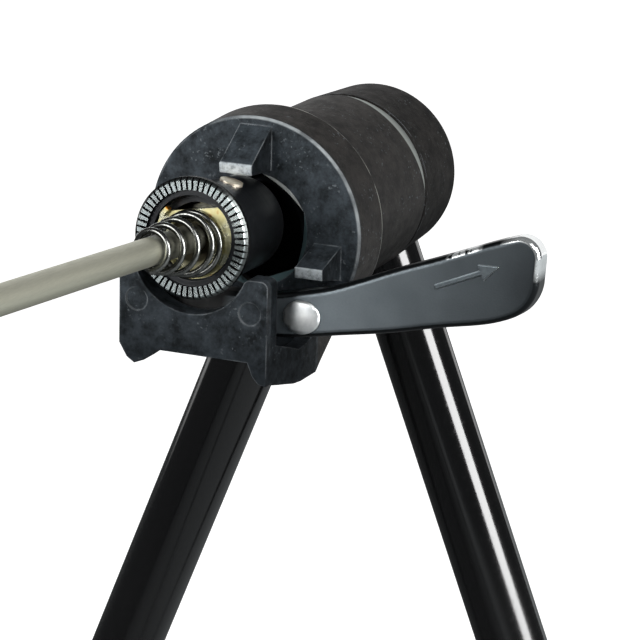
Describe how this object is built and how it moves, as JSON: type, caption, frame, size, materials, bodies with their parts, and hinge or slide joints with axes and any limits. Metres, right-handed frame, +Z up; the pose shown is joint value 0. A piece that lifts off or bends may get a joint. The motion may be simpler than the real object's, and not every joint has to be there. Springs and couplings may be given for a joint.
{
  "type": "bicycle display stand",
  "caption": "Folding display stand that carries a bicycle by its rear wheel skewer, with moulded cradle heads on bent tube leg frames.",
  "frame": {"origin": "on the floor under the middle of the stand", "axes": "+X along the wheel axle towards the lever, +Y along the bicycle towards the front legs, +Z up"},
  "size_m": [0.32, 0.2852, 0.3741],
  "materials": {
    "moulded_plastic": "charcoal glass-filled nylon, lightly speckled",
    "knuckle_plastic": "charcoal glass-filled nylon",
    "black_tube": "gloss black powder coat",
    "rubber": "matt black rubber",
    "zinc_steel": "bright zinc plated",
    "black_oxide": "black oxide finished steel",
    "washer_plastic": "natural acetal",
    "rod_steel": "satin plated steel",
    "spring_steel": "bright drawn wire",
    "chrome": "bright chrome plate",
    "black_alloy": "black anodised, semi-gloss",
    "yellow_zinc": "yellow passivated zinc",
    "lever_alloy": "satin grey forged alloy with a polished edge"
  },
  "bodies": {
    "front_stand": {"head_body_right": "moulded_plastic", "head_body_left": "moulded_plastic", "pivot_bolt_right": "black_oxide", "pivot_bolt_left": "black_oxide", "friction_washer_right": "washer_plastic", "friction_washer_left": "washer_plastic", "nut_washer_right": "zinc_steel", "nut_washer_left": "zinc_steel", "pivot_nut_right": "zinc_steel", "pivot_nut_left": "zinc_steel", "front_leg_frame": "black_tube", "front_leg_pins": "zinc_steel", "front_foot_right": "rubber", "front_foot_left": "rubber"},
    "rear_legs": {"rear_knuckle_right": "knuckle_plastic", "rear_knuckle_left": "knuckle_plastic", "rear_leg_frame": "black_tube", "rear_leg_pins": "zinc_steel", "rear_foot_right": "rubber", "rear_foot_left": "rubber"},
    "skewer": {"skewer_rod": "rod_steel", "cam_housing": "black_alloy", "serrated_ring": "chrome", "spring_seat": "yellow_zinc", "spring_right": "spring_steel", "spring_left": "spring_steel"},
    "lever": {"lever": "lever_alloy", "cam_shaft": "zinc_steel", "lever_rivet": "chrome"},
    "nut": {"adjusting_nut": "black_alloy", "nut_ring": "chrome"}
  },
  "joints": [
    {"name": "fold", "type": "hinge", "parent": "front_stand", "child": "rear_legs", "pos_m": [0, 0, 0.35], "axis": [1, 0, 0], "range_deg": [0, 39.6]},
    {"name": "skewer_lift", "type": "hinge", "parent": "front_stand", "child": "skewer", "pos_m": [0.08794, 0.00202, 0.35151], "axis": [0, 1, 0], "range_deg": [-4.7, 0.5]},
    {"name": "lever_swing", "type": "hinge", "parent": "skewer", "child": "lever", "pos_m": [0.08096, 0.00194, 0.35208], "axis": [0.083, -0.224, 0.9711], "range_deg": [0, 4]},
    {"name": "nut_turn", "type": "hinge", "parent": "skewer", "child": "nut", "pos_m": [-0.0745, 0.0001, 0.36495], "axis": [0.9965, 0.0118, -0.0825], "continuous": true}
  ]
}
